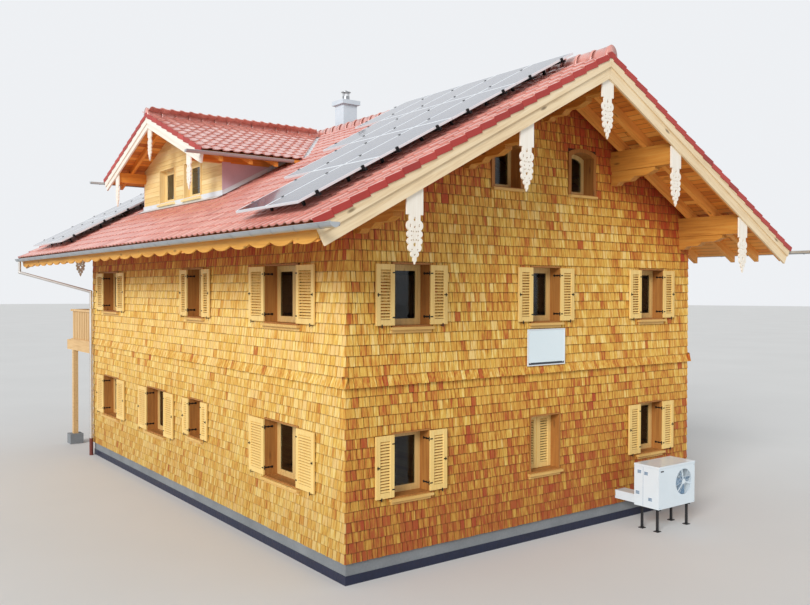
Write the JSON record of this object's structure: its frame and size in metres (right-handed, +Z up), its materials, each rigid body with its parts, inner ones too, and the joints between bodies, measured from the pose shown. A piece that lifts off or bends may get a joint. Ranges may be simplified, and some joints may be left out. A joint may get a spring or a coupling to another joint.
{
  "type": "alpine chalet",
  "caption": "Two-storey shingle-clad alpine chalet with a carved gable roof, gabled dormer, solar arrays, rear balcony and outdoor heat pump.",
  "frame": {"origin": "middle of the plan of the body at ground level, on the underside of the foundation", "axes": "+X to the right for someone who faces the front gable, +Y along the ridge from the front gable to the back, +Z up"},
  "size_m": [12.18, 18.18, 10.0152],
  "materials": {
    "concrete": "rough",
    "membrane": "matte",
    "floor_wood": "satin",
    "wall_wood": "rough",
    "drip_wood": "rough",
    "beam_wood": "satin",
    "soffit_wood": "satin",
    "clay_tile": "matte",
    "spruce": "satin",
    "pale_spruce": "matte",
    "zinc": "satin",
    "window_wood": "satin",
    "glass": "polished",
    "shutter_wood": "satin",
    "plaster": "matte",
    "steel": "brushed",
    "solar_glass": "polished",
    "black_rail": "satin",
    "balcony_wood": "matte",
    "door_wood": "satin",
    "board_white": "satin",
    "white_metal": "gloss",
    "dark_plastic": "satin",
    "dark_metal": "satin"
  },
  "bodies": {
    "house": {"foundation": "concrete", "membrane": "membrane", "ground_floor": "floor_wood", "upper_floor": "floor_wood", "attic_floor": "floor_wood", "front_wall": "wall_wood", "back_wall": "wall_wood", "left_wall": "wall_wood", "right_wall": "wall_wood", "drip_course": "drip_wood", "purlins": "beam_wood", "purlin_corbels": "beam_wood", "rafters_left": "soffit_wood", "rafters_right": "soffit_wood", "dormer_trimmers": "soffit_wood", "roof_boards_left": "soffit_wood", "roof_boards_right": "soffit_wood", "roof_tiles_left": "clay_tile", "roof_tiles_right": "clay_tile", "ridge_tiles": "clay_tile", "front_bargeboards": "spruce", "back_bargeboards": "spruce", "front_pendants": "pale_spruce", "back_pendants": "pale_spruce", "eaves_boards": "soffit_wood", "gutter_left": "zinc", "gutter_right": "zinc", "dormer_gutters": "zinc", "downpipes": "zinc", "window_linings": "beam_wood", "window_frames": "window_wood", "window_glass": "glass", "window_sills": "beam_wood", "shutters": "shutter_wood", "dormer_front_wall": "spruce", "dormer_cheeks": "plaster", "dormer_purlins": "soffit_wood", "dormer_rafters": "soffit_wood", "dormer_roof_boards": "soffit_wood", "dormer_roof_tiles": "clay_tile", "dormer_bargeboards": "spruce", "dormer_pendants": "pale_spruce", "chimney": "plaster", "chimney_cowl": "steel", "solar_modules": "solar_glass", "solar_rails": "black_rail", "balcony_frame": "balcony_wood", "balcony_floor": "balcony_wood", "balcony_railing": "balcony_wood", "post_footings": "concrete", "doors": "door_wood", "wall_board": "board_white", "pump_case": "white_metal", "pump_guard": "white_metal", "pump_stand": "dark_metal", "pump_duct": "white_metal"},
    "fan": {"pump_fan": "dark_plastic"}
  },
  "joints": [
    {"name": "fan_spin", "type": "hinge", "parent": "house", "child": "fan", "pos_m": [2.764, -7.754, 0.92], "axis": [0, -1, 0], "continuous": true}
  ]
}
